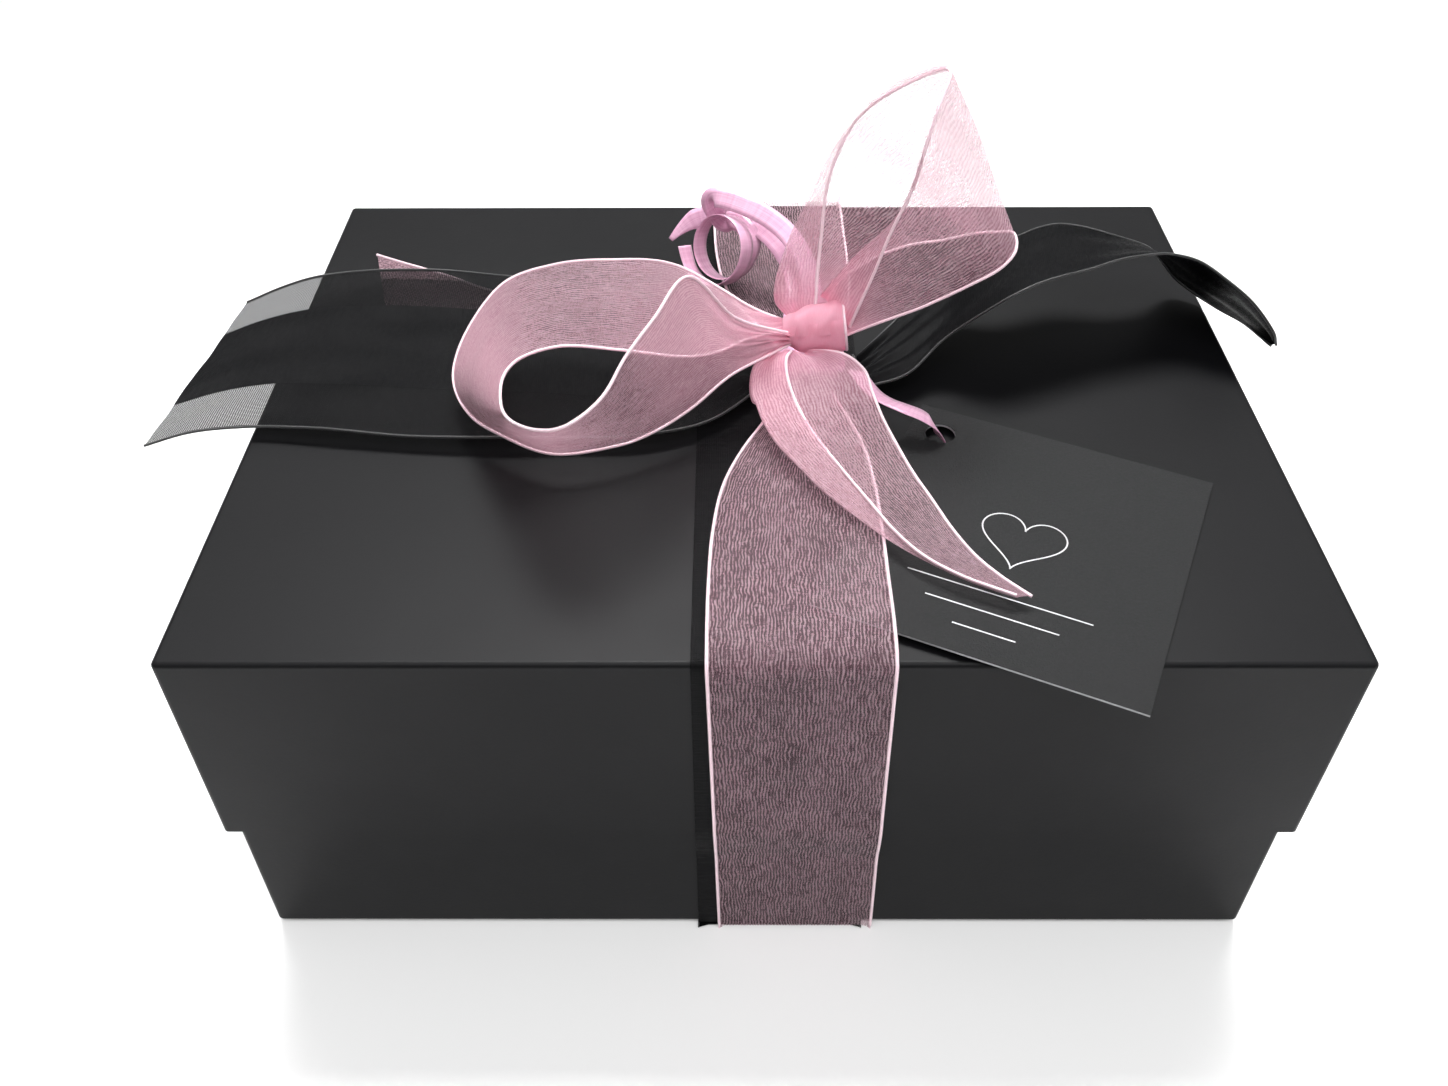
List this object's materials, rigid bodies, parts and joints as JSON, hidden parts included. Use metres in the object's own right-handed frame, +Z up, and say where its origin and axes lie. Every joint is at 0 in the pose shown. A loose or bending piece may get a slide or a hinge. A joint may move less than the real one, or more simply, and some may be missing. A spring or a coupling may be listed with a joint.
{
  "type": "gift box",
  "caption": "Rigid lift-off-lid gift box with a tied sheer ribbon bow, a wide ribbon with long tails, curling ribbon and a hang tag.",
  "frame": {"origin": "centre of the box's underside, on the lower face of the ribbon that runs under it", "axes": "+X along the box's length to the right, +Y from the front to the back, +Z up"},
  "size_m": [0.2947, 0.2161, 0.1902],
  "materials": {
    "greyboard": "uncoated",
    "kraft_tape": "uncoated",
    "black_wrap": "matt laminated",
    "liner_paper": "matt",
    "pink_organza": "sheer weave with corded edges",
    "black_satin": "satin centre with sheer borders",
    "lilac_satin": "glossy satin",
    "black_card": "matt with a light tooth"
  },
  "bodies": {
    "base": {"base_board": "greyboard", "base_corner_tapes": "kraft_tape", "base_wrap": "black_wrap", "base_liner": "liner_paper"},
    "lid": {"lid_board": "greyboard", "lid_corner_tapes": "kraft_tape", "lid_wrap": "black_wrap", "lid_liner": "liner_paper"},
    "ribbon": {"band_front": "pink_organza", "band_back": "pink_organza", "bow_knot": "pink_organza", "bow_loop_left": "pink_organza", "bow_loop_right": "pink_organza", "bow_tail_front": "pink_organza", "bow_tail_back": "pink_organza", "black_band": "black_satin", "black_knot": "black_satin", "black_tail_left": "black_satin", "black_tail_right": "black_satin", "curl_tie": "lilac_satin", "curl_strand": "lilac_satin", "curl_ring": "lilac_satin", "curl_point": "lilac_satin", "tag_strand": "lilac_satin"},
    "under_run": {"band_under_run": "pink_organza", "black_under_run": "black_satin"},
    "tag": {"hang_tag": "black_card"}
  },
  "joints": [
    {"name": "lid_lift", "type": "slide", "parent": "base", "child": "lid", "axis": [0, 0, 1], "range_m": [0, 0.13]},
    {"name": "ribbon_slip", "type": "slide", "parent": "lid", "child": "ribbon", "axis": [1, 0, 0], "range_m": [0, 0.15]},
    {"name": "under_run_slip", "type": "slide", "parent": "base", "child": "under_run", "axis": [1, 0, 0], "range_m": [0, 0.15]},
    {"name": "tag_swing", "type": "hinge", "parent": "ribbon", "child": "tag", "pos_m": [0.0461, -0.0236, 0.1066], "axis": [0, 0, 1], "range_deg": [-12, 12]}
  ],
  "couplings": [
    {"joint": "under_run_slip", "follows": "ribbon_slip", "ratio": 1}
  ]
}
